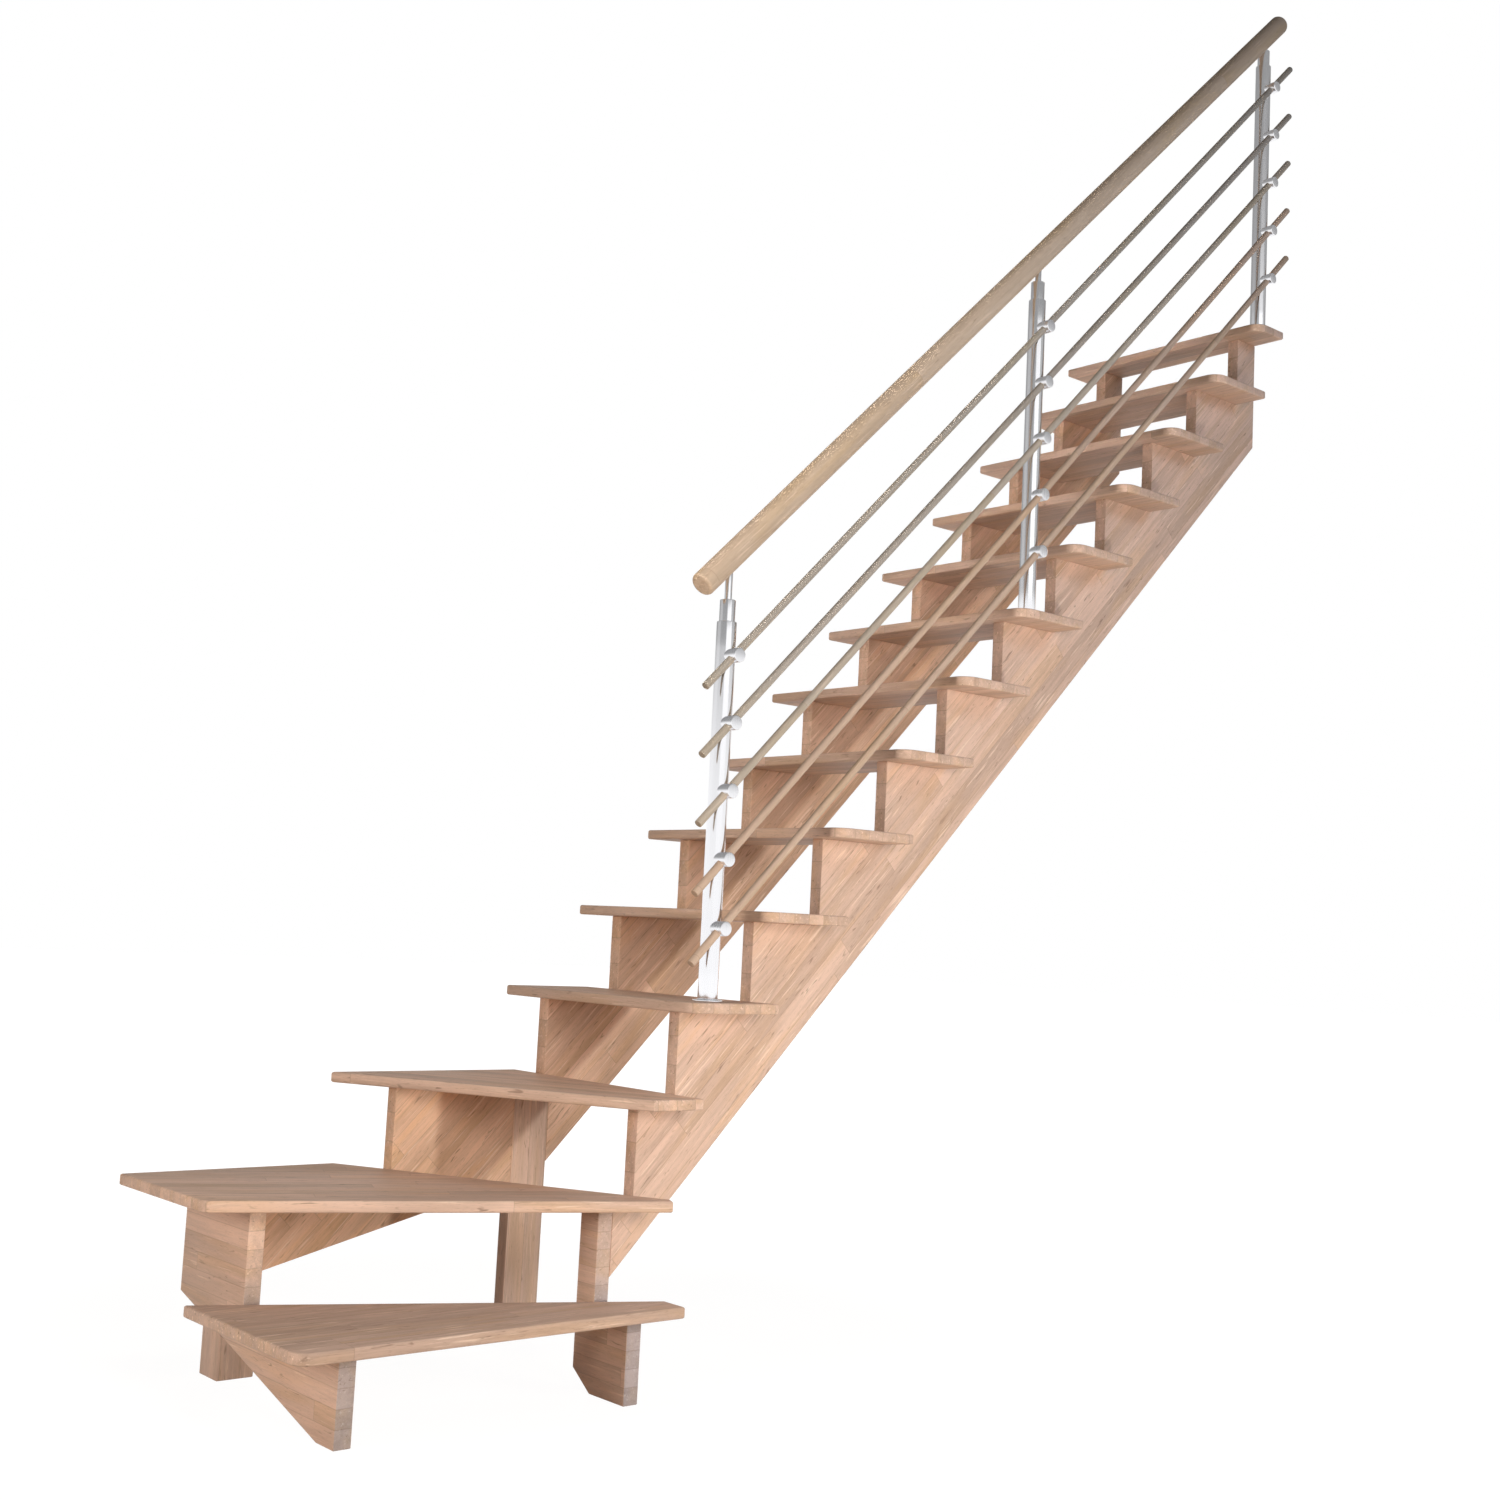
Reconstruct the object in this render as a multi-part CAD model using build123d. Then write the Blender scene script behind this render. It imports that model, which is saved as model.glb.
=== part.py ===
from build123d import *
import math
import os

# Open wooden quarter-turn staircase with a one-sided rail. Millimetres, +Z up,
# +X up the straight flight, +Y towards the far side.
# The drawing datum is the floor below the front edge of the first straight tread,
# at the near tread ends. The part's origin is the middle of the junction post's foot.

# stair
RISE = 200.0
GOING = 200.0
FIRST_STRAIGHT = 4
LAST_STRAIGHT = 14
TREAD_LENGTH = 708.0
TREAD_THICK = 23.0
NOSING = 37.0
TOP_TREAD_DEPTH = 123.0
TREAD_CORNER_R = 40.0
WINDER_CORNER_R = 30.0
TREAD_EDGE_EASE = 2.5

# sawtooth stringers of the straight flight
BOARD_THICK = 36.0
NEAR_OVERHANG = 96.0
FAR_OVERHANG = 86.0
WAIST = 140.0
NEAR_CUT_3 = -61.0

# winder quarter: plan positions from the drawing datum
OUTER_EDGE_X = -913.0
ENTRY_FRONT_Y = -93.0
INNER_END_X = -62.0
TREAD1_BACK_OUT_Y = 363.0
TREAD1_BACK_IN_Y = -27.0
TREAD2_FRONT_OUT_Y = 315.0
TREAD2_TIP_Y = -38.0
TREAD2_TIP_WIDTH = 22.0
TREAD2_BACK_FAR_X = -430.0
TREAD3_FRONT_FAR_X = -450.0
TREAD3_FRONT_NEAR_X = -95.0

# boards and posts below the winders
INNER_BOARD_X = -149.0
INNER_BOARD_FRONT_Y = -20.0
INNER_BOARD_BACK_Y = 157.0
INNER_FOOT_BACK_Y = 96.0
INNER_HEEL_Z = 42.0
LEFT_BOARD_X = -782.0
LEFT_BOARD_FRONT_Y = -3.0
LEFT_BOARD_CUT_Y = 384.0
LEFT_BOARD_PROUD = 46.0
LEFT_FOOT_BACK_Y = 62.0
LEFT_HEEL_Z = 163.0
CORNER_POST_W = 80.0
CORNER_POST_PROUD = 6.0
BACK_BOARD_CUT_X = -354.0
BACK_BOARD_LOW_Z = 198.0
BACK_BOARD_HIGH_Z = 354.0
JUNCTION_X = -40.0
JUNCTION_W = 95.0

# rail
POST_BACK = 86.0
POST_IN = 64.0
POST_TREADS = (4, 9, 14)
FLANGE_D = 66.0
FLANGE_T = 5.0
TUBE_D = 44.0
TUBE_WALL = 2.0
COLLAR_DEPTH = 12.0
SLEEVE_D = 35.0
SLEEVE_WALL = 3.0
SLEEVE_SHOW = 49.0
SLEEVE_INSERT = 90.0
SLEEVE_DROP = 39.0
SHOULDER_EASE = 2.5
CAP_DEPTH = 24.0
PIN_D = 16.0
PIN_INSERT = 60.0
HANDRAIL_D = 56.0
HANDRAIL_FIRST_H = 973.0
HANDRAIL_LAST_H = 917.0
HANDRAIL_EDGE_EASE = 6.0
RAIL_START_X = 8.0
HANDRAIL_END_X = 2166.0
ROD_END_X = 2179.0
ROD_D = 18.0
ROD_COUNT = 5
ROD_FIRST_H = 158.0
ROD_TOP_DROP = 77.0
ROD_GAP = 1.0
CLAMP_D = 32.0
CLAMP_CAP = 10.0

os.makedirs("parts", exist_ok=True)

slope = RISE / GOING
pitch_angle = math.atan2(RISE, GOING)
far_outer_y = TREAD_LENGTH - FAR_OVERHANG
far_inner_y = far_outer_y - BOARD_THICK
near_inner_y = NEAR_OVERHANG + BOARD_THICK
flight_end_x = (LAST_STRAIGHT - FIRST_STRAIGHT) * GOING + TOP_TREAD_DEPTH
origin_x = JUNCTION_X + JUNCTION_W / 2
origin_y = (far_inner_y + far_outer_y) / 2


def top_of(k):
    return k * RISE


def seat_of(k):
    return k * RISE - TREAD_THICK


def front_of(k):
    return (k - FIRST_STRAIGHT) * GOING


def cut_of(k):
    return front_of(k) + NOSING


lower_offset = seat_of(FIRST_STRAIGHT) - cut_of(FIRST_STRAIGHT + 1) * slope - WAIST / math.cos(pitch_angle)


def lower_edge(x):
    return x * slope + lower_offset


def save(name, *solids):
    moved = [Pos(-origin_x, -origin_y, 0) * s for s in solids]
    shape = moved[0] if len(moved) == 1 else Compound(children=moved)
    shape.label = name
    export_step(shape, "parts/" + name + ".step")


def board_along_x(points, y0, y1):
    # outline given in (x, z), board between the planes y0 and y1
    face = make_face(Polyline(*[(x, y0, z) for x, z in points], close=True))
    return extrude(face, amount=y1 - y0, dir=(0, 1, 0))


def board_along_y(points, x0, x1):
    # outline given in (y, z), board between the planes x0 and x1
    face = make_face(Polyline(*[(x0, y, z) for y, z in points], close=True))
    return extrude(face, amount=x1 - x0, dir=(1, 0, 0))


def tread_slab(points, k, round_at=None, radius=TREAD_CORNER_R):
    # outline given in (x, y), top face on the step's level, all long edges eased
    face = make_face(Polyline(*[(x, y, seat_of(k)) for x, y in points], close=True))
    slab = extrude(face, amount=TREAD_THICK, dir=(0, 0, 1))
    if round_at is not None:
        upright = slab.edges().filter_by(Axis.Z).sort_by_distance((round_at[0], round_at[1], seat_of(k)))[0]
        slab = fillet(upright, radius)
    rims = slab.faces().sort_by(Axis.Z)[-1].edges() + slab.faces().sort_by(Axis.Z)[0].edges()
    return chamfer(rims, TREAD_EDGE_EASE)


# winder treads
tread1 = [
    (OUTER_EDGE_X, ENTRY_FRONT_Y),
    (INNER_END_X, ENTRY_FRONT_Y),
    (INNER_END_X, TREAD1_BACK_IN_Y),
    (OUTER_EDGE_X, TREAD1_BACK_OUT_Y),
]
save("tread_01", tread_slab(tread1, 1, tread1[0], WINDER_CORNER_R))
tread2 = [
    (OUTER_EDGE_X, TREAD2_FRONT_OUT_Y),
    (INNER_END_X, TREAD2_TIP_Y),
    (INNER_END_X + TREAD2_TIP_WIDTH / 2, TREAD2_TIP_Y + TREAD2_TIP_WIDTH),
    (TREAD2_BACK_FAR_X, TREAD_LENGTH),
    (OUTER_EDGE_X, TREAD_LENGTH),
]
save("tread_02", tread_slab(tread2, 2, tread2[0], WINDER_CORNER_R))
tread3 = [
    (TREAD3_FRONT_NEAR_X, 0),
    (cut_of(FIRST_STRAIGHT), 0),
    (cut_of(FIRST_STRAIGHT), TREAD_LENGTH),
    (TREAD3_FRONT_FAR_X, TREAD_LENGTH),
]
save("tread_03", tread_slab(tread3, 3))

# straight treads, each running back to the next upright cut of the stringers
for k in range(FIRST_STRAIGHT, LAST_STRAIGHT + 1):
    x0 = front_of(k)
    x1 = cut_of(k + 1) if k < LAST_STRAIGHT else flight_end_x
    outline = [(x0, 0), (x1, 0), (x1, TREAD_LENGTH), (x0, TREAD_LENGTH)]
    save("tread_%02d" % k, tread_slab(outline, k, round_at=(x0, 0)))


# sawtooth stringers
def sawtooth(first_points):
    points = list(first_points)
    for k in range(FIRST_STRAIGHT, LAST_STRAIGHT + 1):
        points.append((cut_of(k), seat_of(k - 1)))
        points.append((cut_of(k), seat_of(k)))
    points.append((flight_end_x, seat_of(LAST_STRAIGHT)))
    points.append((flight_end_x, lower_edge(flight_end_x)))
    return points


inner_face_x = INNER_BOARD_X + BOARD_THICK
near_start = [
    (inner_face_x, lower_edge(inner_face_x)),
    (inner_face_x, seat_of(2)),
    (NEAR_CUT_3, seat_of(2)),
    (NEAR_CUT_3, seat_of(3)),
]
save("stringer_near", board_along_x(sawtooth(near_start), NEAR_OVERHANG, near_inner_y))
junction_face_x = JUNCTION_X + JUNCTION_W
far_start = [
    (junction_face_x, lower_edge(junction_face_x)),
    (junction_face_x, seat_of(3)),
]
save("stringer_far", board_along_x(sawtooth(far_start), far_inner_y, far_outer_y))

# boards and posts of the winder quarter
inner_board = [
    (INNER_BOARD_FRONT_Y, 0),
    (INNER_FOOT_BACK_Y, 0),
    (INNER_BOARD_BACK_Y, INNER_HEEL_Z),
    (INNER_BOARD_BACK_Y, seat_of(2)),
    (NEAR_OVERHANG, seat_of(2)),
    (NEAR_OVERHANG, seat_of(1)),
    (INNER_BOARD_FRONT_Y, seat_of(1)),
]
save("stringer_inner", board_along_y(inner_board, INNER_BOARD_X, inner_face_x))
left_back_y = far_outer_y + LEFT_BOARD_PROUD
left_board = [
    (LEFT_BOARD_FRONT_Y, 0),
    (LEFT_FOOT_BACK_Y, 0),
    (left_back_y, LEFT_HEEL_Z),
    (left_back_y, seat_of(2)),
    (LEFT_BOARD_CUT_Y, seat_of(2)),
    (LEFT_BOARD_CUT_Y, seat_of(1)),
    (LEFT_BOARD_FRONT_Y, seat_of(1)),
]
left_face_x = LEFT_BOARD_X + BOARD_THICK
save("stringer_left", board_along_y(left_board, LEFT_BOARD_X, left_face_x))
corner_face_x = left_face_x + CORNER_POST_W
corner_back_y = far_outer_y + CORNER_POST_PROUD
corner_front_y = corner_back_y - CORNER_POST_W
corner = [
    (left_face_x, 0),
    (corner_face_x, 0),
    (corner_face_x, seat_of(2)),
    (left_face_x, seat_of(2)),
]
save("post_corner", board_along_x(corner, corner_front_y, corner_back_y))
back_board = [
    (corner_face_x, BACK_BOARD_LOW_Z),
    (JUNCTION_X, BACK_BOARD_HIGH_Z),
    (JUNCTION_X, seat_of(3)),
    (BACK_BOARD_CUT_X, seat_of(3)),
    (BACK_BOARD_CUT_X, seat_of(2)),
    (corner_face_x, seat_of(2)),
]
save("stringer_back", board_along_x(back_board, far_inner_y, far_outer_y))
junction = [
    (JUNCTION_X, 0),
    (junction_face_x, 0),
    (junction_face_x, seat_of(3)),
    (JUNCTION_X, seat_of(3)),
]
save("post_junction", board_along_x(junction, far_inner_y, far_outer_y))

# rail: the handrail falls back slightly against the flight, the pins take up the difference
first_x = front_of(POST_TREADS[0]) + POST_BACK
last_x = front_of(POST_TREADS[-1]) + POST_BACK
first_z = top_of(POST_TREADS[0]) + HANDRAIL_FIRST_H
last_z = top_of(POST_TREADS[-1]) + HANDRAIL_LAST_H
rail_slope = (last_z - first_z) / (last_x - first_x)
rod_y = POST_IN - TUBE_D / 2 - ROD_D / 2 - ROD_GAP
clamp_end_y = rod_y - ROD_D / 2 - CLAMP_CAP
sleeve_top = min(HANDRAIL_FIRST_H, HANDRAIL_LAST_H) - SLEEVE_DROP
tube_top = sleeve_top - SLEEVE_SHOW
rod_pitch = (tube_top - ROD_TOP_DROP - ROD_FIRST_H) / (ROD_COUNT - 1)


def handrail_z(x):
    return first_z + (x - first_x) * rail_slope


def bar(p0, p1, diameter):
    # round bar between two points
    axis = Vector(*p1) - Vector(*p0)
    return extrude(Plane(origin=p0, z_dir=axis) * Circle(diameter / 2), amount=axis.length)


def ring(x, y, z0, z1, outer, inner):
    # upright tube between two heights
    profile = Pos(x, y, z0) * (Circle(outer / 2) - Circle(inner / 2))
    return extrude(profile, amount=z1 - z0)


def ease_shoulder(tube):
    # the outer rim of the tube's top face
    rim = tube.faces().sort_by(Axis.Z)[-1].edges().sort_by(SortBy.RADIUS)[-1]
    return chamfer(rim, SHOULDER_EASE)


rail_core = bar(
    (RAIL_START_X, POST_IN, handrail_z(RAIL_START_X)),
    (HANDRAIL_END_X, POST_IN, handrail_z(HANDRAIL_END_X)),
    HANDRAIL_D,
)
handrail = chamfer(rail_core.edges().filter_by(GeomType.CIRCLE), HANDRAIL_EDGE_EASE)
save("handrail", handrail)

flanges = []
tubes = []
sleeves = []
pins = []
for k in POST_TREADS:
    x = front_of(k) + POST_BACK
    base = top_of(k)
    foot = Pos(x, POST_IN, base) * Cylinder(
        FLANGE_D / 2, FLANGE_T, align=(Align.CENTER, Align.CENTER, Align.MIN))
    flanges.append(foot)
    tube = ring(x, POST_IN, base + FLANGE_T, base + tube_top, TUBE_D, TUBE_D - 2 * TUBE_WALL)
    collar = ring(x, POST_IN, base + tube_top - COLLAR_DEPTH, base + tube_top, TUBE_D, SLEEVE_D)
    tubes.append(ease_shoulder(tube + collar))
    sleeve_low = base + tube_top - SLEEVE_INSERT
    sleeve_high = base + sleeve_top
    sleeve = ring(x, POST_IN, sleeve_low, sleeve_high, SLEEVE_D, SLEEVE_D - 2 * SLEEVE_WALL)
    cap = ring(x, POST_IN, sleeve_high - CAP_DEPTH, sleeve_high, SLEEVE_D, PIN_D)
    sleeves.append(ease_shoulder(sleeve + cap) - rail_core)
    pin = bar((x, POST_IN, sleeve_high - PIN_INSERT), (x, POST_IN, handrail_z(x)), PIN_D)
    pins.append(pin - rail_core)
save("post_flanges", *flanges)
save("post_tubes", *tubes)
save("post_sleeves", *sleeves)
save("post_pins", *pins)


def rod_height(i, x):
    # rod 1 is the lowest; every rod runs parallel with the flight
    return top_of(POST_TREADS[0]) + ROD_FIRST_H + (i - 1) * rod_pitch + (x - first_x) * slope


for i in range(1, ROD_COUNT + 1):
    start = (RAIL_START_X, rod_y, rod_height(i, RAIL_START_X))
    end = (ROD_END_X, rod_y, rod_height(i, ROD_END_X))
    save("rod_%d" % i, bar(start, end, ROD_D))

# clamps: a round body saddled on the tube, cross-bored for its rod
for n, k in enumerate(POST_TREADS, 1):
    x = front_of(k) + POST_BACK
    tube_bar = bar((x, POST_IN, top_of(k)), (x, POST_IN, top_of(k) + tube_top), TUBE_D)
    clamps = []
    for i in range(1, ROD_COUNT + 1):
        z = rod_height(i, x)
        body = bar((x, POST_IN, z), (x, clamp_end_y, z), CLAMP_D)
        reach = CLAMP_D * 2
        bore = bar((x - reach, rod_y, z - reach * slope), (x + reach, rod_y, z + reach * slope), ROD_D)
        clamps.append(body - tube_bar - bore)
    save("clamps_%d" % n, *clamps)
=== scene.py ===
import math

import bmesh
import bpy
from mathutils import Matrix, Vector


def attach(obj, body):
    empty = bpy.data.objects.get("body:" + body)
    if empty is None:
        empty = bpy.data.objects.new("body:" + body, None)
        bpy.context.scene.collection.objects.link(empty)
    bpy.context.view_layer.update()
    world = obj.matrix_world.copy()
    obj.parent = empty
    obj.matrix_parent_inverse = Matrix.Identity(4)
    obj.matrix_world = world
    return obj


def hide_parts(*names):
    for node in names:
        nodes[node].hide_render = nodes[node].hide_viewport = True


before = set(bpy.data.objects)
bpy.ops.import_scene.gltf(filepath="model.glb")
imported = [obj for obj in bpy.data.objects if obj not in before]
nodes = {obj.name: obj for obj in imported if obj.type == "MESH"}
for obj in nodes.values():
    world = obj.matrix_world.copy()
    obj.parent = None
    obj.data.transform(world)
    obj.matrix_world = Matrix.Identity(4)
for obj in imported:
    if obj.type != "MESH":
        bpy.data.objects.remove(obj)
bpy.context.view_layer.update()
scene = bpy.context.scene
MM = 0.001


# Small helpers for objects and shader trees
def link_object(name, data):
    made = bpy.data.objects.new(name, data)
    scene.collection.objects.link(made)
    return made


def add_node(tree, kind, inputs=None, **settings):
    # an input's value is either a constant or the output socket that feeds it
    made = tree.nodes.new(kind)
    for key, value in settings.items():
        setattr(made, key, value)
    for key, value in (inputs or {}).items():
        if isinstance(value, bpy.types.NodeSocket):
            tree.links.new(value, made.inputs[key])
        else:
            made.inputs[key].default_value = value
    return made


def calc(tree, operation, *values):
    made = add_node(tree, "ShaderNodeMath", dict(enumerate(values)), operation=operation)
    return made.outputs["Value"]


def off_middle(tree, value):
    return calc(tree, "SUBTRACT", value, 0.5)


def blend_colours(tree, factor, first, second, blend_type="MIX"):
    made = add_node(
        tree, "ShaderNodeMix", {0: factor, 6: first, 7: second}, data_type="RGBA", blend_type=blend_type)
    return made.outputs[2]


def blend_values(tree, factor, first, second):
    made = add_node(tree, "ShaderNodeMix", {0: factor, 2: first, 3: second}, data_type="FLOAT")
    return made.outputs[0]


def ramp_between(tree, value, low, high):
    # 0 below low, 1 above high, smooth between
    made = add_node(
        tree, "ShaderNodeMapRange", {"Value": value, "From Min": low, "From Max": high},
        interpolation_type="SMOOTHSTEP")
    return made.outputs["Result"]


def stretched_noise(tree, vector, scale, detail, distortion=0.0):
    scaled = add_node(tree, "ShaderNodeVectorMath", {0: vector, 1: scale}, operation="MULTIPLY")
    made = add_node(
        tree, "ShaderNodeTexNoise",
        {"Vector": scaled.outputs["Vector"], "Scale": 1.0, "Detail": detail, "Distortion": distortion})
    return made.outputs["Fac"]


def new_group(name, inputs, outputs):
    tree = bpy.data.node_groups.new(name, "ShaderNodeTree")
    for title, kind, value in inputs:
        socket = tree.interface.new_socket(title, in_out="INPUT", socket_type=kind)
        if value is not None:
            socket.default_value = value
    for title, kind in outputs:
        tree.interface.new_socket(title, in_out="OUTPUT", socket_type=kind)
    entry = tree.nodes.new("NodeGroupInput").outputs
    exit_sockets = tree.nodes.new("NodeGroupOutput").inputs
    return tree, entry, exit_sockets


def new_material(name):
    material = bpy.data.materials.new(name)
    material.use_nodes = True
    return material, material.node_tree


def dress_shader(tree, finish, strength, relief):
    # colour, gloss and relief of a finish group go to the material's own shader
    shader = tree.nodes["Principled BSDF"]
    bump = add_node(
        tree, "ShaderNodeBump",
        {"Height": finish.outputs["Height"], "Strength": strength, "Distance": relief})
    tree.links.new(finish.outputs["Color"], shader.inputs["Base Color"])
    tree.links.new(finish.outputs["Roughness"], shader.inputs["Roughness"])
    tree.links.new(bump.outputs["Normal"], shader.inputs["Normal"])
    return shader


FINISH_OUTPUTS = (
    ("Color", "NodeSocketColor"), ("Roughness", "NodeSocketFloat"), ("Height", "NodeSocketFloat"))

# Laminated timber: a solid texture, grain along X, staves side by side along Y
STREAK_PALE = (0.9, 0.66, 0.5, 1)
STREAK_DEEP = (0.2, 0.11, 0.07, 1)
GLUE = (0.3, 0.18, 0.12, 1)
GOLDEN = (1.0, 0.95, 0.82, 1)
# noises: waves in a metre along, across and through the grain, detail, distortion
BROAD_NOISE = ((2.5, 26.0, 26.0), 2.0, 0.4)
FIGURE_NOISE = ((6.0, 95.0, 95.0), 3.0, 0.6)
STREAK_NOISE = ((14.0, 330.0, 330.0), 2.0)
PORE_NOISE = ((70.0, 900.0, 900.0), 1.0)
PALE_STREAK_NOISE = ((9.0, 170.0, 170.0), 1.0, 0.3)
DARK_STREAK_NOISE = ((22.0, 150.0, 150.0), 1.5, 0.8)
GOLDEN_NOISE = ((3.0, 20.0, 20.0), 2.0, 0.5)
# where in its noise a mark starts and is full
PORE_RANGE = (0.58, 0.74)
PALE_STREAK_RANGE = (0.62, 0.74)
DARK_STREAK_RANGE = (0.63, 0.78)
GOLDEN_RANGE = (0.44, 0.7)
# how much each noise and each stave's own tone moves the wood between deep and pale
BROAD_WEIGHT = 1.5
FIGURE_WEIGHT = 1.3
STREAK_WEIGHT = 0.8
TONE_WEIGHT = 0.7
# how strongly each mark colours the wood
GOLDEN_SHARE = 0.7
STREAK_SHARE = 0.5
PORE_SHARE = 0.22
GLUE_SHARE = 0.3
GLUE_EDGES = (0.4 * MM, 1.4 * MM)
# faces this square to the grain show end grain, and heights between which the painted shade near the floor
# ends
END_GRAIN_RANGE = (0.5, 0.95)
FLOOR_SHADE_HEIGHTS = (0.16, 0.26)
# seeds: how far apart boards and staves start in the pattern
BOARD_STRIDE = 17.3
STAVE_STRIDE = (9.0, 9.0, 9.0)
WOOD_ROUGHNESS = 0.56
STREAK_ROUGHNESS = 0.3
PORE_RELIEF = -1.5
STREAK_RELIEF = 0.6
GLUE_RELIEF = -0.3


def timber_group():
    tree, entry, leave = new_group(
        "laminated timber",
        (
            ("Vector", "NodeSocketVector", None),
            ("Board", "NodeSocketFloat", None),
            ("Stave Width", "NodeSocketFloat", None),
            ("Stave Length", "NodeSocketFloat", None),
            ("Pale", "NodeSocketColor", None),
            ("Deep", "NodeSocketColor", None),
            ("Figure", "NodeSocketFloat", None),
            ("Grain Axis", "NodeSocketVector", None),
            ("Rise", "NodeSocketFloat", None),
            ("End Grain And Light", "NodeSocketColor", None),
            ("Floor Shade", "NodeSocketColor", None),
        ),
        FINISH_OUTPUTS)
    vector = entry["Vector"]
    board = calc(tree, "ROUND", entry["Board"])
    parts = add_node(tree, "ShaderNodeSeparateXYZ", {0: vector}).outputs

    # which stave a point lies in, and that stave's own tone
    rows = calc(tree, "DIVIDE", parts["Y"], entry["Stave Width"])
    row = calc(tree, "FLOOR", rows)
    row_seed = calc(tree, "ADD", row, calc(tree, "MULTIPLY", board, BOARD_STRIDE))
    shift = add_node(tree, "ShaderNodeTexWhiteNoise", {"W": row_seed}, noise_dimensions="1D").outputs["Value"]
    runs = calc(tree, "ADD", calc(tree, "DIVIDE", parts["X"], entry["Stave Length"]), shift)
    run = calc(tree, "FLOOR", runs)
    cell = add_node(tree, "ShaderNodeCombineXYZ", {0: row, 1: run, 2: board}).outputs["Vector"]
    stave = add_node(tree, "ShaderNodeTexWhiteNoise", {"Vector": cell}, noise_dimensions="3D").outputs
    tone = off_middle(tree, stave["Value"])

    # figure, streaks and pores, all drawn out along the grain
    own_start = add_node(
        tree, "ShaderNodeVectorMath", {0: stave["Color"], 1: STAVE_STRIDE, 2: vector},
        operation="MULTIPLY_ADD")
    wood = own_start.outputs["Vector"]
    broad = off_middle(tree, stretched_noise(tree, wood, *BROAD_NOISE))
    figure = off_middle(tree, stretched_noise(tree, wood, *FIGURE_NOISE))
    streak = off_middle(tree, stretched_noise(tree, wood, *STREAK_NOISE))
    pore = ramp_between(tree, stretched_noise(tree, wood, *PORE_NOISE), *PORE_RANGE)
    pale_streak = ramp_between(tree, stretched_noise(tree, wood, *PALE_STREAK_NOISE), *PALE_STREAK_RANGE)
    dark_streak = ramp_between(tree, stretched_noise(tree, wood, *DARK_STREAK_NOISE), *DARK_STREAK_RANGE)
    golden = ramp_between(tree, stretched_noise(tree, wood, *GOLDEN_NOISE), *GOLDEN_RANGE)

    lift = calc(tree, "MULTIPLY", broad, BROAD_WEIGHT)
    lift = calc(tree, "MULTIPLY_ADD", figure, FIGURE_WEIGHT, lift)
    lift = calc(tree, "MULTIPLY_ADD", streak, STREAK_WEIGHT, lift)
    lift = calc(tree, "MULTIPLY_ADD", tone, TONE_WEIGHT, lift)
    spread = calc(tree, "MULTIPLY", lift, entry["Figure"])
    middle = add_node(tree, "ShaderNodeMath", {0: spread, 1: 0.5}, operation="ADD", use_clamp=True)
    colour = blend_colours(tree, middle.outputs["Value"], entry["Deep"], entry["Pale"])
    golden_share = calc(tree, "MULTIPLY", golden, GOLDEN_SHARE)
    colour = blend_colours(tree, golden_share, colour, GOLDEN, "MULTIPLY")
    pale_share = calc(tree, "MULTIPLY", calc(tree, "MULTIPLY", pale_streak, STREAK_SHARE), entry["Figure"])
    colour = blend_colours(tree, pale_share, colour, STREAK_PALE)
    dark_share = calc(tree, "MULTIPLY", calc(tree, "MULTIPLY", dark_streak, STREAK_SHARE), entry["Figure"])
    colour = blend_colours(tree, dark_share, colour, STREAK_DEEP)
    pore_share = calc(tree, "MULTIPLY", calc(tree, "MULTIPLY", pore, PORE_SHARE), entry["Figure"])
    colour = blend_colours(tree, pore_share, colour, STREAK_DEEP)

    # glue lines between the staves
    beside = calc(tree, "MULTIPLY", calc(tree, "PINGPONG", rows, 0.5), entry["Stave Width"])
    ahead = calc(tree, "MULTIPLY", calc(tree, "PINGPONG", runs, 0.5), entry["Stave Length"])
    glue = calc(tree, "MINIMUM", beside, ahead)
    glue = calc(tree, "SUBTRACT", 1.0, ramp_between(tree, glue, *GLUE_EDGES))
    colour = blend_colours(tree, calc(tree, "MULTIPLY", glue, GLUE_SHARE), colour, GLUE)

    # end grain has its own tint, on some boards painted light, and painted shade darkens and cools it near
    # the floor
    normal = add_node(tree, "ShaderNodeNewGeometry").outputs["Normal"]
    facing = add_node(
        tree, "ShaderNodeVectorMath", {0: normal, 1: entry["Grain Axis"]}, operation="DOT_PRODUCT")
    squareness = calc(tree, "ABSOLUTE", facing.outputs["Value"])
    end_grain = ramp_between(tree, squareness, *END_GRAIN_RANGE)
    off_floor = ramp_between(tree, entry["Rise"], *FLOOR_SHADE_HEIGHTS)
    end_tint_and_shade = blend_colours(tree, off_floor, entry["Floor Shade"], entry["End Grain And Light"])
    colour = blend_colours(tree, end_grain, colour, end_tint_and_shade, "MULTIPLY")

    tree.links.new(colour, leave["Color"])
    rough = calc(tree, "MULTIPLY_ADD", streak, STREAK_ROUGHNESS, WOOD_ROUGHNESS)
    tree.links.new(rough, leave["Roughness"])
    height = calc(tree, "MULTIPLY", streak, STREAK_RELIEF)
    height = calc(tree, "MULTIPLY_ADD", pore_share, PORE_RELIEF, height)
    tree.links.new(calc(tree, "MULTIPLY_ADD", glue, GLUE_RELIEF, height), leave["Height"])
    return tree


TIMBER = timber_group()
STAVE_WIDTH = 44 * MM
STAVE_LENGTH = 0.85
GRAIN_RELIEF = 0.15 * MM
GRAIN_STRENGTH = 0.6
WOOD_SHEEN = 0.25
END_TINT = (0.96, 0.945, 0.93)
PLAIN_ENDS = (END_TINT, END_TINT)


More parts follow.
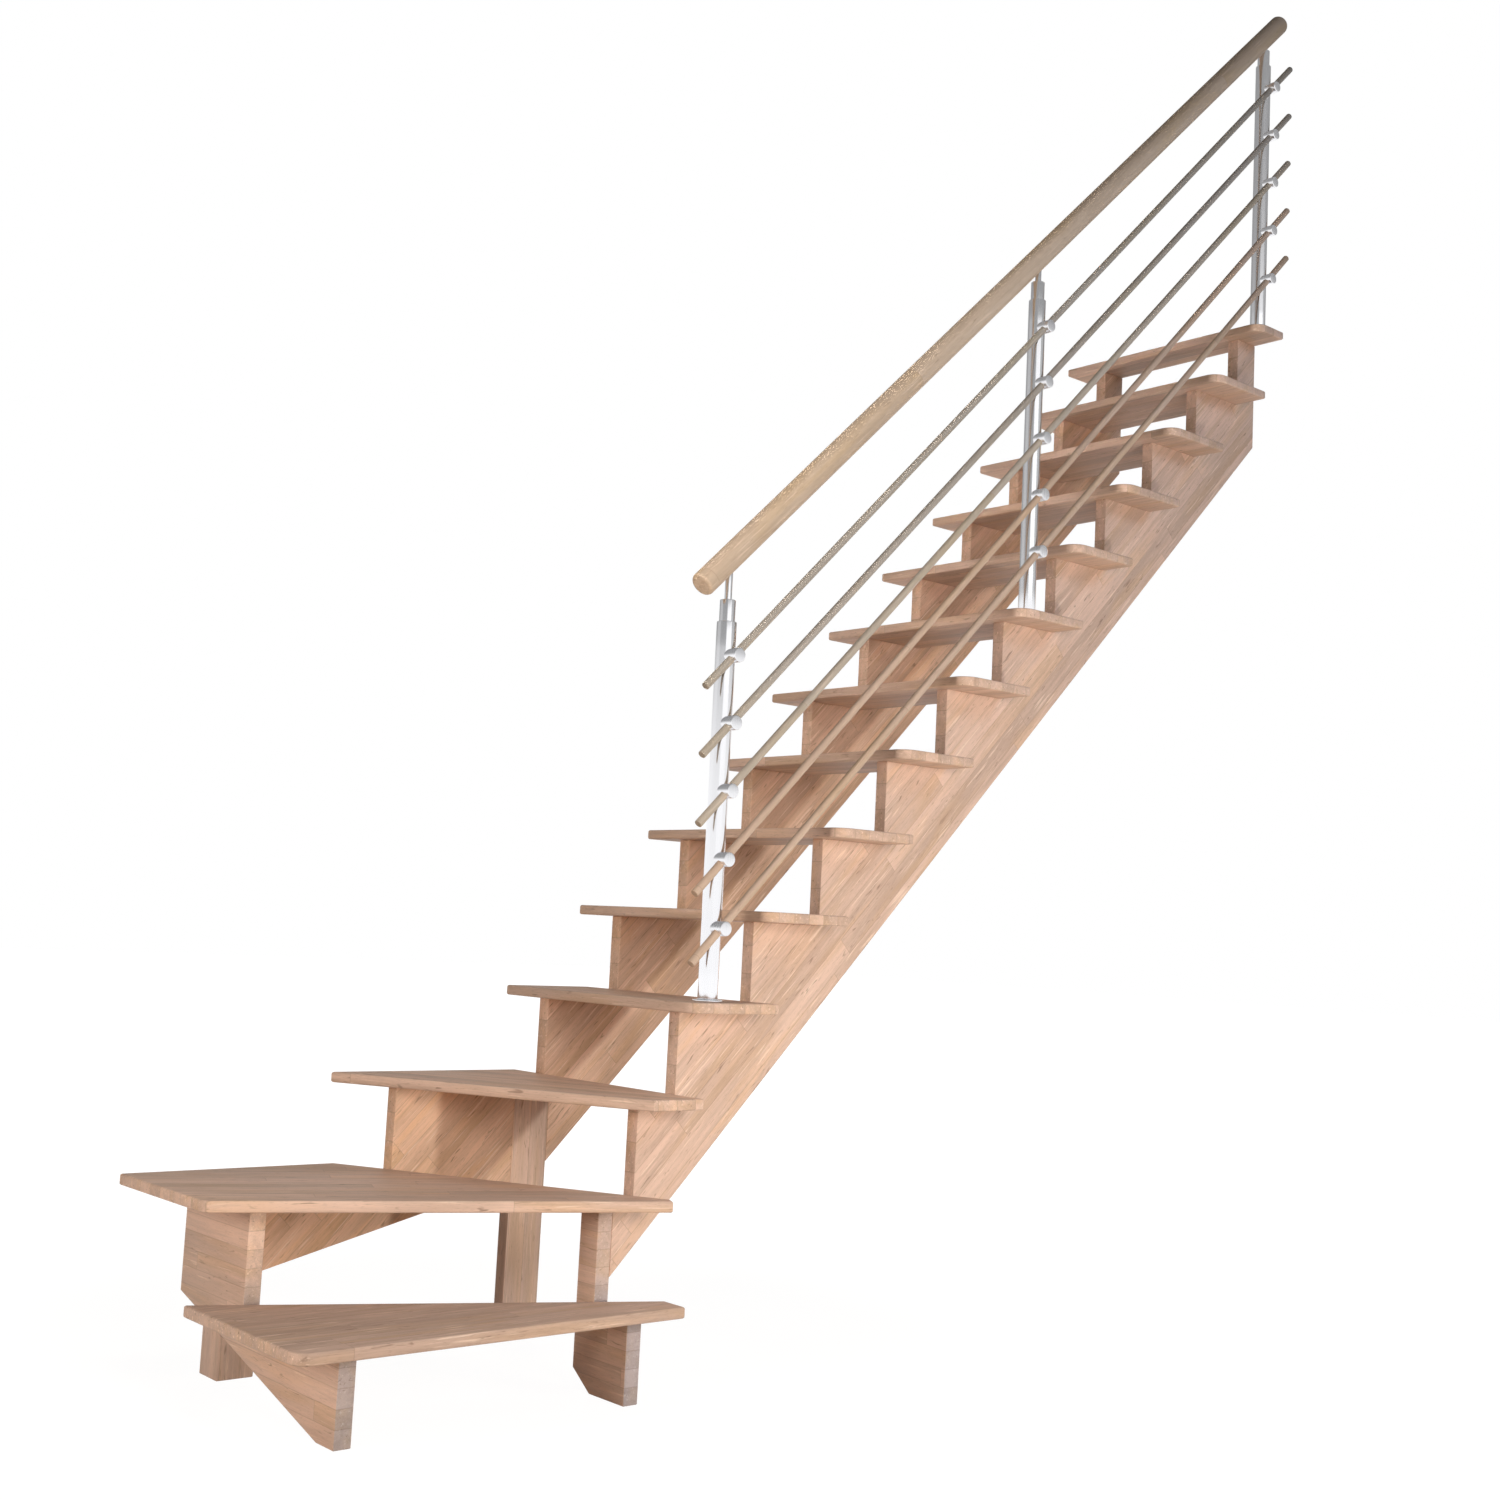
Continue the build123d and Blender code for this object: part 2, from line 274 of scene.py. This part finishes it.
def timber(name, grain, across, pale, deep, figure=1.0, stave_width=STAVE_WIDTH, line=Vector(),
           ends=PLAIN_ENDS):
    # grain and across are directions in the row frame, line is a point on a glue line,
    # ends are the tints of end grain high up, painted light on some boards, and of painted shade near the
    # floor
    material, tree = new_material(name)
    grain = Vector(grain).normalized()
    across = Vector(across).normalized()
    turn = Matrix((grain, across, grain.cross(across))).to_euler()
    place = add_node(tree, "ShaderNodeTexCoord").outputs["Object"]
    turned_place = add_node(
        tree, "ShaderNodeMapping",
        {"Vector": place, "Rotation": turn, "Location": (0, -across.dot(line), 0)}).outputs["Vector"]
    rise = add_node(tree, "ShaderNodeSeparateXYZ", {0: place}).outputs["Z"]
    board = add_node(tree, "ShaderNodeAttribute", attribute_name="board").outputs["Fac"]
    inputs = {
        "Vector": turned_place, "Board": board, "Rise": rise,
        "Stave Width": stave_width, "Stave Length": STAVE_LENGTH, "Figure": figure, "Grain Axis": grain,
        "Pale": (*pale, 1), "Deep": (*deep, 1), "End Grain And Light": (*ends[0], 1), "Floor Shade": (*ends[1], 1),
    }
    wood = add_node(tree, "ShaderNodeGroup", inputs, node_tree=TIMBER)
    shader = dress_shader(tree, wood, GRAIN_STRENGTH, GRAIN_RELIEF)
    shader.inputs["Specular IOR Level"].default_value = WOOD_SHEEN
    return material


# Polished stainless steel: faint streaks along the tube, soft smears
STEEL_DEEP = (0.84, 0.84, 0.865, 1)
STEEL_PALE = (0.94, 0.94, 0.96, 1)
LINE_NOISE = ((700.0, 700.0, 7.0), 3.0)
SMEAR_NOISE = ((14.0, 14.0, 9.0), 2.0)
LINE_WEIGHT = 0.8
SMEAR_WEIGHT = 0.5
STEEL_UNEVENNESS = 0.06
STEEL_RELIEF = 0.02 * MM
STEEL_STRENGTH = 0.3


def steel_group():
    tree, entry, leave = new_group(
        "polished steel",
        (("Vector", "NodeSocketVector", None), ("Shine", "NodeSocketFloat", None)),
        FINISH_OUTPUTS)
    line = off_middle(tree, stretched_noise(tree, entry["Vector"], *LINE_NOISE))
    smear = off_middle(tree, stretched_noise(tree, entry["Vector"], *SMEAR_NOISE))
    lift = calc(tree, "MULTIPLY_ADD", line, LINE_WEIGHT, 0.5)
    lift = calc(tree, "MULTIPLY_ADD", smear, SMEAR_WEIGHT, lift)
    tree.links.new(blend_colours(tree, lift, STEEL_DEEP, STEEL_PALE), leave["Color"])
    rough = calc(tree, "MULTIPLY_ADD", line, STEEL_UNEVENNESS, entry["Shine"])
    rough = calc(tree, "MULTIPLY_ADD", smear, STEEL_UNEVENNESS, rough)
    tree.links.new(rough, leave["Roughness"])
    tree.links.new(line, leave["Height"])
    return tree


STEEL = steel_group()


def steel(name, shine):
    material, tree = new_material(name)
    place = add_node(tree, "ShaderNodeTexCoord").outputs["Object"]
    metal = add_node(tree, "ShaderNodeGroup", {"Vector": place, "Shine": shine}, node_tree=STEEL)
    shader = dress_shader(tree, metal, STEEL_STRENGTH, STEEL_RELIEF)
    shader.inputs["Metallic"].default_value = 1.0
    return material


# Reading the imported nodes
WELD = 0.01 * MM


def welded(name):
    mesh = bmesh.new()
    mesh.from_mesh(nodes[name].data)
    bmesh.ops.remove_doubles(mesh, verts=mesh.verts, dist=WELD)
    return mesh


def solids_of(name):
    # boxes of the separate solids of a node, lowest first
    mesh = welded(name)
    left = set(mesh.verts)
    boxes = []
    while left:
        group = set()
        front = [left.pop()]
        while front:
            vert = front.pop()
            group.add(vert)
            near = {edge.other_vert(vert) for edge in vert.link_edges} & left
            left -= near
            front.extend(near)
        places = [vert.co for vert in group]
        low = Vector([min(p[i] for p in places) for i in range(3)])
        high = Vector([max(p[i] for p in places) for i in range(3)])
        boxes.append((low, high))
    mesh.free()
    return sorted(boxes, key=lambda box: box[0].z)


def lowest_along(name, direction):
    # the point of a node that lies furthest back along a direction
    return min((vert.co.copy() for vert in nodes[name].data.vertices), key=Vector(direction).dot)


def round_bar(name):
    # axis ends and radius of a node that is one straight round bar
    mesh = welded(name)
    places = [vert.co.copy() for vert in mesh.verts]
    mesh.free()
    middle = sum(places, Vector()) / len(places)
    upper = [p for p in places if p.z > middle.z]
    lower = [p for p in places if p.z <= middle.z]
    top = sum(upper, Vector()) / len(upper)
    foot = sum(lower, Vector()) / len(lower)
    axis = (top - foot).normalized()
    along = [(p - foot).dot(axis) for p in places]
    radius = max((p - foot - axis * a).length for p, a in zip(places, along))
    return foot + axis * min(along), foot + axis * max(along), radius


# Making pieces
FLAT_ANGLE = math.radians(1)
EASED_ANGLE = math.radians(25)
BOARD_SMOOTH_ANGLE = math.radians(32)
TURNED_SMOOTH_ANGLE = math.radians(40)
EASE_SEGMENTS = 2


def finish_piece(piece, material, replaced):
    piece.data.materials.clear()
    piece.data.materials.append(material)
    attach(piece, "root")
    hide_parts(*replaced)
    return piece


def apply_modifiers(piece):
    shown = piece.evaluated_get(bpy.context.evaluated_depsgraph_get())
    data = bpy.data.meshes.new_from_object(shown)
    piece.modifiers.clear()
    piece.data = data


def number_board(data, number):
    values = data.attributes.new("board", "FLOAT", "POINT")
    values.data.foreach_set("value", [float(number)] * len(data.vertices))


def eased_board(name, ease, number, material):
    # the node's own solid with its sharp edges rounded over
    mesh = welded(name)
    bmesh.ops.dissolve_limit(mesh, angle_limit=FLAT_ANGLE, verts=mesh.verts[:], edges=mesh.edges[:])
    data = bpy.data.meshes.new(name + "_eased")
    mesh.to_mesh(data)
    mesh.free()
    piece = link_object(name + "_eased", data)
    bevel = piece.modifiers.new("ease", "BEVEL")
    bevel.width = ease
    bevel.segments = EASE_SEGMENTS
    bevel.limit_method = "ANGLE"
    bevel.angle_limit = EASED_ANGLE
    apply_modifiers(piece)
    piece.data.shade_smooth()
    piece.data.set_sharp_from_angle(angle=BOARD_SMOOTH_ANGLE)
    number_board(piece.data, number)
    return finish_piece(piece, material, [name])


def turn_outline(mesh, outline, foot, axis, sides):
    # outline: (distance along the axis, radius) from end to end, closed on the axis
    axis = axis.normalized()
    side = axis.orthogonal().normalized()
    other = axis.cross(side)
    rings = []
    for along, radius in outline:
        centre = foot + axis * along
        if radius == 0:
            rings.append([mesh.verts.new(centre)])
            continue
        ring = []
        for i in range(sides):
            angle = 2 * math.pi * i / sides
            ring.append(mesh.verts.new(centre + radius * (math.cos(angle) * side + math.sin(angle) * other)))
        rings.append(ring)
    for lower, upper in zip(rings, rings[1:]):
        for i in range(sides):
            j = (i + 1) % sides
            corners = [lower[i % len(lower)], lower[j % len(lower)]]
            corners += [upper[j % len(upper)], upper[i % len(upper)]]
            mesh.faces.new(list(dict.fromkeys(corners)))


RING_PITCH = 60 * MM


def rounded_rim(length, radius, rim, steps=4):
    # outline of a bar whose two ends are rounded over, with rings between that keep its faces short
    start = []
    for i in range(steps + 1):
        angle = math.pi / 2 * i / steps
        start.append((rim - rim * math.cos(angle), radius - rim + rim * math.sin(angle)))
    end = [(length - along, r) for along, r in reversed(start)]
    parts = max(1, round(length / RING_PITCH))
    rings = [(rim + (length - 2 * rim) * i / parts, radius) for i in range(1, parts)]
    return [(0, 0)] + start + rings + end + [(length, 0)]


def turned_mesh(name, turns, sides):
    # turns: (outline, foot, axis) of each solid
    mesh = bmesh.new()
    for outline, foot, axis in turns:
        turn_outline(mesh, outline, foot, axis, sides)
    bmesh.ops.recalc_face_normals(mesh, faces=mesh.faces)
    data = bpy.data.meshes.new(name)
    mesh.to_mesh(data)
    mesh.free()
    data.shade_smooth()
    data.set_sharp_from_angle(angle=TURNED_SMOOTH_ANGLE)
    return data


# Finishes: two colours to each timber, and the tones that make single pieces paler, deeper or warmer, some of
# them painted light or shade
PALE = (0.745, 0.498, 0.378)
DEEP = (0.55, 0.366, 0.273)
RAIL_PALE = (0.64, 0.475, 0.352)
RAIL_DEEP = (0.465, 0.33, 0.23)
ROD_PALE = (0.68, 0.48, 0.355)
ROD_DEEP = (0.5, 0.345, 0.25)
NEAR_TONE = (1.0, 1.0, 1.0)
FAR_TONE = (1.05, 1.0, 0.94)
BACK_TONE = (1.1, 1.03, 0.92)
POST_TONE = (1.0, 1.03, 1.06)
# winder tones: the first deeper wood, the second and third made paler as painted light from above
WINDER_TONES_AND_LIGHT = (0.8, 1.06, 1.08)
# rod tones: the deeper, cooler tones of rods 3 to 5 are painted shade
ROD_TONES_AND_SHADE = ((0.9, 0.9, 0.9), (0.87, 0.86, 0.86), (0.76, 0.88, 0.95), (0.67, 0.8, 0.91), (0.65, 0.79, 0.9))
# tints of end grain high up and near the floor: painted light on the left board, deeper end grain with
# painted cool shade on the inner board, painted shade near the floor on both
LEFT_ENDS_PAINTED = ((1.22, 1.26, 1.26), (0.7, 0.82, 0.98))
INNER_ENDS_PAINTED = ((0.9, 0.95, 1.01), (0.64, 0.76, 0.95))
# painted light: the first winder's end grain made paler
ENTRY_END_LIGHT = (1.2, 1.2, 1.2)
WINDER_ENDS_PAINTED = ((ENTRY_END_LIGHT, ENTRY_END_LIGHT), PLAIN_ENDS, PLAIN_ENDS)
# how lively the grain is
STRINGER_FIGURE = 1.2
WINDER_FIGURE = 1.2
HANDRAIL_FIGURE = 0.6
ROD_FIGURE = 0.4
# staves of the level boards, the stringers' lowest stave, and the rail timber
LEVEL_STAVE = 36 * MM
EDGE_STAVE = 24 * MM
RAIL_STAVE = 80 * MM
TUBE_SHINE = 0.16
CLAMP_SHINE = 0.28


def toned(tone, pale=PALE, deep=DEEP):
    # a timber's two colours, each channel scaled
    return [tuple(c * f for c, f in zip(colour, tone)) for colour in (pale, deep)]


rod_start, rod_end, _ = round_bar("rod_1")
flight = rod_end - rod_start
uphill = (flight.x, 0, flight.z)
square_to_flight = (-flight.z, 0, flight.x)
lowest_edge = lowest_along("stringer_near", square_to_flight)
stringer_line = lowest_edge + EDGE_STAVE * Vector(square_to_flight).normalized()

near_wood, far_wood, back_wood = (
    timber(name, uphill, square_to_flight, *toned(tone), figure=STRINGER_FIGURE, line=stringer_line)
    for name, tone in (("stringer wood", NEAR_TONE), ("far wood", FAR_TONE), ("back wood", BACK_TONE)))
left_wood, inner_wood = (
    timber(name, (0, 1, 0), (0, 0, 1), PALE, DEEP, stave_width=LEVEL_STAVE, ends=ends)
    for name, ends in (("left wood", LEFT_ENDS_PAINTED), ("inner wood", INNER_ENDS_PAINTED)))
post_wood = timber("post wood", (0, 0, 1), (1, 0, 0), *toned(POST_TONE))
tread_wood = timber("tread wood", (0, 1, 0), (-1, 0, 0), PALE, DEEP)
tube_steel = steel("tube steel", TUBE_SHINE)
clamp_steel = steel("clamp steel", CLAMP_SHINE)

# Treads, boards and wooden posts
BOARD_EASE = 2.0 * MM
TREAD_EASE = 1.0 * MM
FIRST_BOARD = 21


def front_edge(name):
    # a tread's front runs along the longest top edge that faces downhill
    mesh = welded(name)
    top = max(vert.co.z for vert in mesh.verts)
    spans = []
    for edge in mesh.edges:
        outward = sum((face.normal for face in edge.link_faces), Vector())
        if min(vert.co.z for vert in edge.verts) > top - WELD and outward.x + outward.y < -WELD:
            spans.append(edge.verts[1].co - edge.verts[0].co)
    mesh.free()
    return max(spans, key=lambda span: span.length)


def winder_wood(name, number, front):
    # grain along the winder's front
    tone = WINDER_TONES_AND_LIGHT[number - 1]
    across = Vector((0, 0, 1)).cross(front)
    return timber(
        name + " wood", front, across, *toned((tone, tone, tone)), figure=WINDER_FIGURE,
        ends=WINDER_ENDS_PAINTED[number - 1])


def add_treads():
    names = sorted(n for n in nodes if n.startswith("tread_"))
    for number, name in enumerate(names, 1):
        front = front_edge(name)
        is_winder = abs(front.x) > WELD
        material = winder_wood(name, number, front) if is_winder else tread_wood
        eased_board(name, TREAD_EASE, number, material)


def add_boards():
    finishes = {
        "stringer_near": near_wood, "stringer_far": far_wood, "stringer_back": back_wood,
        "stringer_left": left_wood, "stringer_inner": inner_wood,
        "post_corner": post_wood, "post_junction": post_wood,
    }
    for number, (name, material) in enumerate(finishes.items(), FIRST_BOARD):
        eased_board(name, BOARD_EASE, number, material)


# Handrail and rods
HANDRAIL_RIM = 9 * MM
HANDRAIL_RIM_STEPS = 6
HANDRAIL_SIDES = 64
ROD_RIM = 1.5 * MM
ROD_SIDES = 40
HANDRAIL_BOARD = 31


def add_bar(node, outline, start, axis, sides, number, material):
    name = node + "_turned"
    data = turned_mesh(name, [(outline, start, axis)], sides)
    number_board(data, number)
    finish_piece(link_object(name, data), material, [node])


def add_handrail():
    start, end, radius = round_bar("handrail")
    axis = end - start
    square = (-axis.z, 0, axis.x)
    material = timber(
        "rail wood", axis, square, RAIL_PALE, RAIL_DEEP, figure=HANDRAIL_FIGURE, stave_width=RAIL_STAVE)
    outline = rounded_rim(axis.length, radius, HANDRAIL_RIM, HANDRAIL_RIM_STEPS)
    add_bar("handrail", outline, start, axis, HANDRAIL_SIDES, HANDRAIL_BOARD, material)


def add_rods():
    for number, tone in enumerate(ROD_TONES_AND_SHADE, 1):
        name = "rod_%d" % number
        start, end, radius = round_bar(name)
        axis = end - start
        material = timber(
            name + " wood", uphill, square_to_flight, *toned(tone, ROD_PALE, ROD_DEEP),
            figure=ROD_FIGURE, stave_width=RAIL_STAVE)
        outline = rounded_rim(axis.length, radius, ROD_RIM)
        add_bar(name, outline, start, axis, ROD_SIDES, HANDRAIL_BOARD + number, material)


# Steel posts and their clamps
STEEL_RIM = 1.2 * MM
TUBE_SIDES = 56
CLAMP_RIM = 2.0 * MM
CLAMP_SIDES = 48


def add_steel_posts():
    for name in ("post_flanges", "post_tubes", "post_sleeves", "post_pins"):
        turns = []
        for low, high in solids_of(name):
            foot = Vector(((low.x + high.x) / 2, (low.y + high.y) / 2, low.z))
            outline = rounded_rim(high.z - low.z, (high.x - low.x) / 2, STEEL_RIM)
            turns.append((outline, foot, Vector((0, 0, 1))))
        data = turned_mesh(name + "_turned", turns, TUBE_SIDES)
        finish_piece(link_object(name + "_turned", data), tube_steel, [name])


def clamp_tree():
    tree = bpy.data.node_groups.new("clamps on posts", "GeometryNodeTree")
    sockets = (
        ("Places", "NodeSocketGeometry"), ("Clamp", "NodeSocketObject"), ("Finish", "NodeSocketMaterial"))
    for title, kind in sockets:
        tree.interface.new_socket(title, in_out="INPUT", socket_type=kind)
    tree.interface.new_socket("Clamps", in_out="OUTPUT", socket_type="NodeSocketGeometry")
    entry = tree.nodes.new("NodeGroupInput").outputs
    leave = tree.nodes.new("NodeGroupOutput").inputs
    clamp = add_node(tree, "GeometryNodeObjectInfo", {"Object": entry["Clamp"]})
    spread = add_node(
        tree, "GeometryNodeInstanceOnPoints",
        {"Points": entry["Places"], "Instance": clamp.outputs["Geometry"]})
    whole = add_node(tree, "GeometryNodeRealizeInstances", {"Geometry": spread.outputs["Instances"]})
    dressed = add_node(
        tree, "GeometryNodeSetMaterial", {"Geometry": whole.outputs["Geometry"], "Material": entry["Finish"]})
    tree.links.new(dressed.outputs["Geometry"], leave["Clamps"])
    return tree


def add_clamps():
    tube_low, tube_high = solids_of("post_tubes")[0]
    tube_y = (tube_low.y + tube_high.y) / 2
    first_low, first_high = solids_of("clamps_1")[0]
    outline = rounded_rim(tube_y - first_low.y, (first_high.z - first_low.z) / 2, CLAMP_RIM)
    shape = turned_mesh("clamp_pattern", [(outline, Vector(), Vector((0, -1, 0)))], CLAMP_SIDES)
    pattern = link_object("clamp_pattern", shape)
    tree = clamp_tree()
    socket = {item.name: item.identifier for item in tree.interface.items_tree if item.in_out == "INPUT"}
    for name in ("clamps_1", "clamps_2", "clamps_3"):
        places = [((low.x + high.x) / 2, tube_y, (low.z + high.z) / 2) for low, high in solids_of(name)]
        data = bpy.data.meshes.new(name + "_turned")
        data.from_pydata(places, [], [])
        piece = link_object(name + "_turned", data)
        spread = piece.modifiers.new("clamps", "NODES")
        spread.node_group = tree
        spread[socket["Clamp"]] = pattern
        spread[socket["Finish"]] = clamp_steel
        apply_modifiers(piece)
        finish_piece(piece, clamp_steel, [name])
    bpy.data.objects.remove(pattern)


# Studio lamps
ENTRY = Vector((0.1, -0.35, 0.7))
FLIGHT = Vector((1.0, -0.4, 2.2))
LANDING = Vector((1.7, -0.3, 2.5))
# name, place, aim, size, beam in degrees, watts, colour
LAMPS = (
    ("key", Vector((0.8, -2.85, 0.45)), ENTRY, 0.12, 180, 28.4, (0.94, 1.0, 0.98)),
    ("front", Vector((-0.9, -4.0, 1.5)), ENTRY, 1.2, 180, 61, (1.0, 0.99, 0.97)),
    ("left", Vector((-3.6, -0.65, 1.1)), ENTRY, 1.4, 180, 49, (1.0, 0.98, 0.94)),
    ("top", Vector((-1.0, -0.8, 3.2)), ENTRY, 0.9, 180, 20, (0.98, 1.0, 0.97)),
    ("right high", Vector((2.4, -3.2, 3.4)), FLIGHT, 1.0, 120, 14.5, (0.56, 0.74, 1.0)),
    ("right low", Vector((2.0, -3.2, 0.7)), FLIGHT, 0.8, 120, 4.5, (0.83, 0.9, 1.0)),
    ("left high", Vector((-3.2, -0.65, 1.4)), LANDING, 0.5, 30, 1.6, (1.0, 1.0, 1.0)),
    ("back", Vector((2.6, 4.2, 1.3)), FLIGHT, 1.6, 120, 60, (1.0, 0.98, 0.95)),
)


def add_lamp(name, place, aim, size, beam, watts, colour):
    data = bpy.data.lights.new(name, "AREA")
    data.shape = "DISK"
    data.size = size
    data.spread = math.radians(beam)
    data.energy = watts
    data.color = colour
    lamp = link_object(name, data)
    turn = (aim - place).to_track_quat("-Z", "Y").to_matrix().to_4x4()
    lamp.matrix_world = Matrix.Translation(place) @ turn
    lamp.visible_camera = False
    lamp.visible_glossy = False


# What polished steel sees around it, by sine of height and by compass: white below, zones, ceiling above
MIRROR_LOW = 1.05
MIRROR_LOW_ENDS = (0.07, 0.2)
MIRROR_MID = 0.37
MIRROR_HIGH = 0.34
MIRROR_HIGH_STARTS = (0.31, 0.37)
# middle and half width in degrees, brightness
MIRROR_ZONES = (
    (135, 24, 0.55),
    (14, 38, 0.3),
    (-45, 14, 0.55),
    (-96, 31, 1.25),
)
ZONE_SOFTNESS = math.radians(8)
WHITE = (1, 1, 1, 1)


def mirror_level(tree, way):
    parts = add_node(tree, "ShaderNodeSeparateXYZ", {0: way}).outputs
    turn = calc(tree, "ARCTAN2", parts["Y"], parts["X"])
    level = MIRROR_MID
    for middle, half, brightness in MIRROR_ZONES:
        off = calc(tree, "ABSOLUTE", calc(tree, "SUBTRACT", turn, math.radians(middle)))
        edge = math.radians(half)
        outside = ramp_between(tree, off, edge - ZONE_SOFTNESS / 2, edge + ZONE_SOFTNESS / 2)
        level = blend_values(tree, outside, brightness, level)
    level = blend_values(tree, ramp_between(tree, parts["Z"], *MIRROR_HIGH_STARTS), level, MIRROR_HIGH)
    return blend_values(tree, ramp_between(tree, parts["Z"], *MIRROR_LOW_ENDS), MIRROR_LOW, level)


def add_world():
    # the lamps light the object, mirrors see a room, the camera sees white
    world = bpy.data.worlds.new("studio")
    scene.world = world
    world.use_nodes = True
    tree = world.node_tree
    tree.nodes.clear()
    way = add_node(tree, "ShaderNodeTexCoord").outputs["Generated"]
    rays = add_node(tree, "ShaderNodeLightPath").outputs
    mirrored = calc(tree, "MULTIPLY", rays["Is Glossy Ray"], mirror_level(tree, way))
    level = blend_values(tree, rays["Is Camera Ray"], mirrored, 1.0)
    shown = add_node(tree, "ShaderNodeBackground", {"Color": WHITE, "Strength": level})
    out = tree.nodes.new("ShaderNodeOutputWorld")
    tree.links.new(shown.outputs[0], out.inputs["Surface"])


# Floor, with the distances from the origin between which the object's shadow fades out
FLOOR_SPAN = 60.0
FLOOR_COLOUR = (0.68, 0.59, 0.5, 1)
FLOOR_GLOW = 1.12
FLOOR_WHITE = 0.86
SHADOW_NEAR = 0.8
SHADOW_FAR = 2.6


def floor_material():
    # white to the camera, with the object's shadow kept near it
    material, tree = new_material("pale floor")
    tree.nodes.clear()
    matt = add_node(tree, "ShaderNodeBsdfDiffuse", {"Color": FLOOR_COLOUR})
    glow = add_node(tree, "ShaderNodeEmission", {"Color": WHITE, "Strength": FLOOR_GLOW})
    place = add_node(tree, "ShaderNodeTexCoord").outputs["Object"]
    away = add_node(tree, "ShaderNodeVectorMath", {0: place}, operation="LENGTH").outputs["Value"]
    far = ramp_between(tree, away, SHADOW_NEAR, SHADOW_FAR)
    share = add_node(tree, "ShaderNodeMapRange", {"Value": far, "To Min": FLOOR_WHITE}).outputs["Result"]
    rays = add_node(tree, "ShaderNodeLightPath").outputs
    seen = calc(tree, "MAXIMUM", rays["Is Camera Ray"], rays["Is Glossy Ray"])
    white_share = calc(tree, "MULTIPLY", share, seen)
    both = add_node(tree, "ShaderNodeMixShader", {0: white_share, 1: matt.outputs[0], 2: glow.outputs[0]})
    out = tree.nodes.new("ShaderNodeOutputMaterial")
    tree.links.new(both.outputs[0], out.inputs["Surface"])
    return material


def add_floor():
    half = FLOOR_SPAN / 2
    corners = [(-half, -half, 0), (half, -half, 0), (half, half, 0), (-half, half, 0)]
    data = bpy.data.meshes.new("floor")
    data.from_pydata(corners, [], [(0, 1, 2, 3)])
    data.materials.append(floor_material())
    link_object("floor", data)


# Camera of the photograph: place and aim in the row frame, picture 1500 pixels square
PHOTO_SIZE = 1500
FOCAL_PIXELS = 1826.0
SENSOR_MM = 36.0
EYE = Vector((-2.4717, -3.5837, 0.9523))
AZIMUTH = math.radians(49.105)
PITCH = math.radians(5.708)
ROLL = math.radians(-2.864)
CLIP_END = 100


def add_camera():
    ahead = Vector((math.cos(AZIMUTH), math.sin(AZIMUTH), 0))
    right = Vector((math.sin(AZIMUTH), -math.cos(AZIMUTH), 0))
    down = Vector((0, 0, -1))
    look = math.cos(PITCH) * ahead - math.sin(PITCH) * down
    fall = math.cos(PITCH) * down + math.sin(PITCH) * ahead
    across = math.cos(ROLL) * right + math.sin(ROLL) * fall
    lower = -math.sin(ROLL) * right + math.cos(ROLL) * fall
    data = bpy.data.cameras.new("camera")
    data.sensor_fit = "HORIZONTAL"
    data.sensor_width = SENSOR_MM
    data.lens = SENSOR_MM * FOCAL_PIXELS / PHOTO_SIZE
    data.clip_end = CLIP_END
    camera = link_object("camera", data)
    turn = Matrix((across, -lower, -look)).transposed().to_4x4()
    camera.matrix_world = Matrix.Translation(EYE) @ turn
    scene.camera = camera


add_treads()
add_boards()
add_handrail()
add_rods()
add_steel_posts()
add_clamps()
add_floor()
add_world()
for lamp in LAMPS:
    add_lamp(*lamp)
add_camera()
scene.view_settings.view_transform = "Standard"
